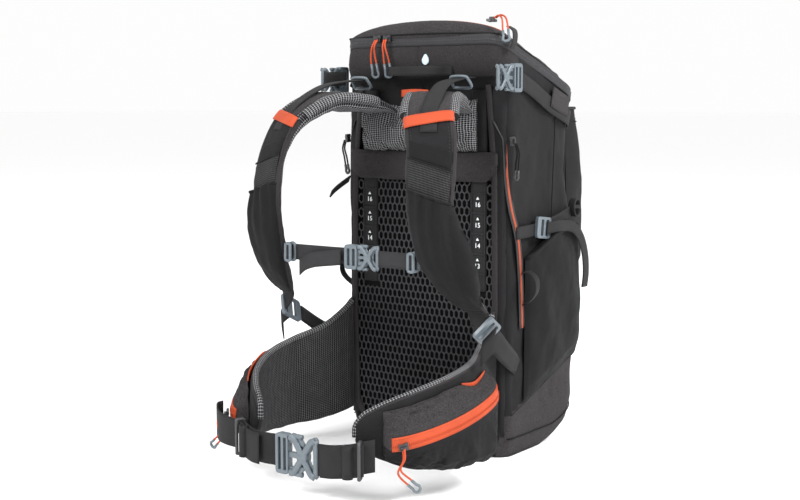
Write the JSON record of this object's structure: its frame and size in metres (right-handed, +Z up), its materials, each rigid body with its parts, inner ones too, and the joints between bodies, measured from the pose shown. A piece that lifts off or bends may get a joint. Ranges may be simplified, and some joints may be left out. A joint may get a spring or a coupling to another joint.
{
  "type": "hiking daypack",
  "caption": "Hiking daypack with a vented mesh back, sliding shoulder harness, padded hip belt with zipped pockets, side-release buckles and a zip-closed lid.",
  "frame": {"origin": "under the centre of the pack's bounding box, on the surface it stands on", "axes": "+Z up, -Y towards the wearer (the mesh back and harness face -Y), +X towards the wearer's left"},
  "size_m": [0.345, 0.5521, 0.5603],
  "materials": {
    "bag_fabric": "charcoal heather polyester, matte",
    "lid_fabric": "charcoal heather polyester with orange-red zip edges",
    "base_fabric": "coated heather polyester, matte",
    "stretch_fabric": "black stretch knit",
    "pad_fabric": "charcoal polyester over foam",
    "pocket_fabric": "charcoal heather polyester with an orange-red zip",
    "spacer_mesh": "grey three-dimensional spacer mesh",
    "webbing": "black woven webbing",
    "grey_plastic": "blue-grey moulded acetal, satin",
    "frame_plastic": "black sheet plastic",
    "slider_metal": "black enamelled die-cast metal"
  },
  "bodies": {
    "pack": {"back_panel": "bag_fabric", "collar_panel": "bag_fabric", "back_mesh": "spacer_mesh", "frame_sheet": "frame_plastic", "base_panel": "base_fabric", "front_panel": "bag_fabric", "front_pocket": "stretch_fabric", "haul_loop": "webbing", "side_panel_left": "bag_fabric", "side_panel_right": "bag_fabric", "scale_strip_left": "bag_fabric", "scale_strip_right": "bag_fabric", "side_pocket_left": "stretch_fabric", "side_pocket_right": "stretch_fabric", "upper_webbing_left": "webbing", "upper_webbing_right": "webbing", "side_webbing_left": "webbing", "side_webbing_right": "webbing", "side_ladderlock_left": "grey_plastic", "side_ladderlock_right": "grey_plastic", "upper_buckle_left_body": "grey_plastic", "upper_buckle_right_body": "grey_plastic"},
    "lid": {"lid_shell": "lid_fabric"},
    "lid_slider": {"lid_zip_slider": "slider_metal"},
    "main_slider_left": {"main_zip_slider_left": "slider_metal"},
    "main_slider_right": {"main_zip_slider_right": "slider_metal"},
    "yoke": {"yoke_band": "bag_fabric", "yoke_pad": "spacer_mesh", "lifter_lock_left": "grey_plastic", "lifter_lock_right": "grey_plastic"},
    "sternum_insert": {"sternum_buckle_insert": "grey_plastic"},
    "hip_insert": {"hip_buckle_insert": "grey_plastic"},
    "strap_left": {"strap_pad_left": "pad_fabric", "lower_webbing_left": "webbing"},
    "lock_left": {"strap_ladderlock_left": "grey_plastic"},
    "sternum_left": {"sternum_slider_left": "grey_plastic", "sternum_webbing_left": "webbing", "sternum_buckle_body": "grey_plastic"},
    "hip_left": {"hip_pad_left": "spacer_mesh", "hip_pocket_left": "pocket_fabric", "hip_webbing_left": "webbing", "hip_buckle_body": "grey_plastic"},
    "hip_slider_left": {"hip_zip_slider_left": "slider_metal"},
    "side_slider_left": {"side_zip_slider_left": "slider_metal"},
    "upper_insert_left": {"upper_buckle_left_insert": "grey_plastic"},
    "strap_right": {"strap_pad_right": "pad_fabric", "lower_webbing_right": "webbing"},
    "lock_right": {"strap_ladderlock_right": "grey_plastic"},
    "sternum_right": {"sternum_slider_right": "grey_plastic", "sternum_webbing_right": "webbing"},
    "hip_right": {"hip_pad_right": "spacer_mesh", "hip_pocket_right": "pocket_fabric", "hip_webbing_right": "webbing"},
    "hip_slider_right": {"hip_zip_slider_right": "slider_metal"},
    "side_slider_right": {"side_zip_slider_right": "slider_metal"},
    "upper_insert_right": {"upper_buckle_right_insert": "grey_plastic"},
    "sternum_prong_upper": {"sternum_buckle_prong_upper": "grey_plastic"},
    "sternum_prong_lower": {"sternum_buckle_prong_lower": "grey_plastic"},
    "hip_prong_upper": {"hip_buckle_prong_upper": "grey_plastic"},
    "hip_prong_lower": {"hip_buckle_prong_lower": "grey_plastic"}
  },
  "joints": [
    {"name": "lid_open", "type": "hinge", "parent": "pack", "child": "lid", "pos_m": [0, 0.1772, 0.46], "axis": [-1, 0, 0], "range_deg": [0, 110]},
    {"name": "main_zip_left_travel", "type": "slide", "parent": "pack", "child": "main_slider_left", "axis": [1, 0, 0], "range_m": [0, 0.15]},
    {"name": "main_zip_right_travel", "type": "slide", "parent": "pack", "child": "main_slider_right", "axis": [-1, 0, 0], "range_m": [0, 0.04]},
    {"name": "lid_zip_travel", "type": "slide", "parent": "lid", "child": "lid_slider", "axis": [-1, 0, 0], "range_m": [0, 0.16]},
    {"name": "yoke_slide", "type": "slide", "parent": "pack", "child": "yoke", "axis": [0, 0, -1], "range_m": [0, 0.0254]},
    {"name": "strap_left_swing", "type": "hinge", "parent": "yoke", "child": "strap_left", "pos_m": [0.06, -0.0148, 0.45], "axis": [-0.2218, -0.1057, 0.9693], "range_deg": [0, 12], "stiffness_Nm_per_rad": 0.6},
    {"name": "ladderlock_left_tilt", "type": "hinge", "parent": "strap_left", "child": "lock_left", "pos_m": [0.15661, -0.10433, 0.18999], "axis": [-0.4996, -0.4844, -0.7182], "range_deg": [0, 25]},
    {"name": "sternum_left_height", "type": "slide", "parent": "strap_left", "child": "sternum_left", "axis": [0, -0.3192, 0.9477], "range_m": [-0.02, 0.01]},
    {"name": "strap_right_swing", "type": "hinge", "parent": "yoke", "child": "strap_right", "pos_m": [-0.06, -0.0148, 0.45], "axis": [-0.2218, 0.1057, -0.9693], "range_deg": [0, 12], "stiffness_Nm_per_rad": 0.6},
    {"name": "ladderlock_right_tilt", "type": "hinge", "parent": "strap_right", "child": "lock_right", "pos_m": [-0.15661, -0.10433, 0.18999], "axis": [-0.4996, 0.4844, 0.7182], "range_deg": [0, 25]},
    {"name": "sternum_right_height", "type": "slide", "parent": "strap_right", "child": "sternum_right", "axis": [0, -0.3192, 0.9477], "range_m": [-0.02, 0.01]},
    {"name": "sternum_release", "type": "slide", "parent": "sternum_right", "child": "sternum_insert", "axis": [-1, 0, 0], "range_m": [0, 0.028]},
    {"name": "sternum_prong_upper_flex", "type": "hinge", "parent": "sternum_insert", "child": "sternum_prong_upper", "pos_m": [0.0124, -0.1568, 0.2755], "axis": [0, 1, 0], "range_deg": [0, 5], "stiffness_Nm_per_rad": 0.06},
    {"name": "sternum_prong_lower_flex", "type": "hinge", "parent": "sternum_insert", "child": "sternum_prong_lower", "pos_m": [0.0124, -0.1568, 0.2605], "axis": [0, -1, 0], "range_deg": [0, 5], "stiffness_Nm_per_rad": 0.06},
    {"name": "hip_left_open", "type": "hinge", "parent": "pack", "child": "hip_left", "pos_m": [0.116, -0.0188, 0.09], "axis": [0, 0, 1], "range_deg": [0, 25], "stiffness_Nm_per_rad": 0.5},
    {"name": "hip_zip_left_travel", "type": "hinge", "parent": "hip_left", "child": "hip_slider_left", "pos_m": [0.005, -0.1238, 0.097], "axis": [0, -0.2398, 0.9708], "range_deg": [0, 50]},
    {"name": "hip_right_open", "type": "hinge", "parent": "pack", "child": "hip_right", "pos_m": [-0.116, -0.0188, 0.09], "axis": [0, 0, -1], "range_deg": [0, 25], "stiffness_Nm_per_rad": 0.5},
    {"name": "hip_zip_right_travel", "type": "hinge", "parent": "hip_right", "child": "hip_slider_right", "pos_m": [-0.005, -0.1238, 0.097], "axis": [0, 0.2398, -0.9708], "range_deg": [0, 50]},
    {"name": "hip_release", "type": "slide", "parent": "hip_right", "child": "hip_insert", "axis": [-1, 0, 0], "range_m": [0, 0.045]},
    {"name": "hip_prong_upper_flex", "type": "hinge", "parent": "hip_insert", "child": "hip_prong_upper", "pos_m": [0.0004, -0.2708, 0.0645], "axis": [0, 1, 0], "range_deg": [0, 5], "stiffness_Nm_per_rad": 0.06},
    {"name": "hip_prong_lower_flex", "type": "hinge", "parent": "hip_insert", "child": "hip_prong_lower", "pos_m": [0.0004, -0.2708, 0.0315], "axis": [0, -1, 0], "range_deg": [0, 5], "stiffness_Nm_per_rad": 0.06},
    {"name": "side_zip_left_travel", "type": "slide", "parent": "pack", "child": "side_slider_left", "axis": [0, 0, -1], "range_m": [0, 0.09]},
    {"name": "upper_left_release", "type": "slide", "parent": "pack", "child": "upper_insert_left", "axis": [0, 1, 0], "range_m": [0, 0.03]},
    {"name": "side_zip_right_travel", "type": "slide", "parent": "pack", "child": "side_slider_right", "axis": [0, 0, -1], "range_m": [0, 0.09]},
    {"name": "upper_right_release", "type": "slide", "parent": "pack", "child": "upper_insert_right", "axis": [0, 1, 0], "range_m": [0, 0.03]}
  ],
  "couplings": [
    {"joint": "strap_right_swing", "follows": "strap_left_swing", "ratio": 1},
    {"joint": "sternum_right_height", "follows": "sternum_left_height", "ratio": 1},
    {"joint": "hip_right_open", "follows": "hip_left_open", "ratio": 1}
  ]
}
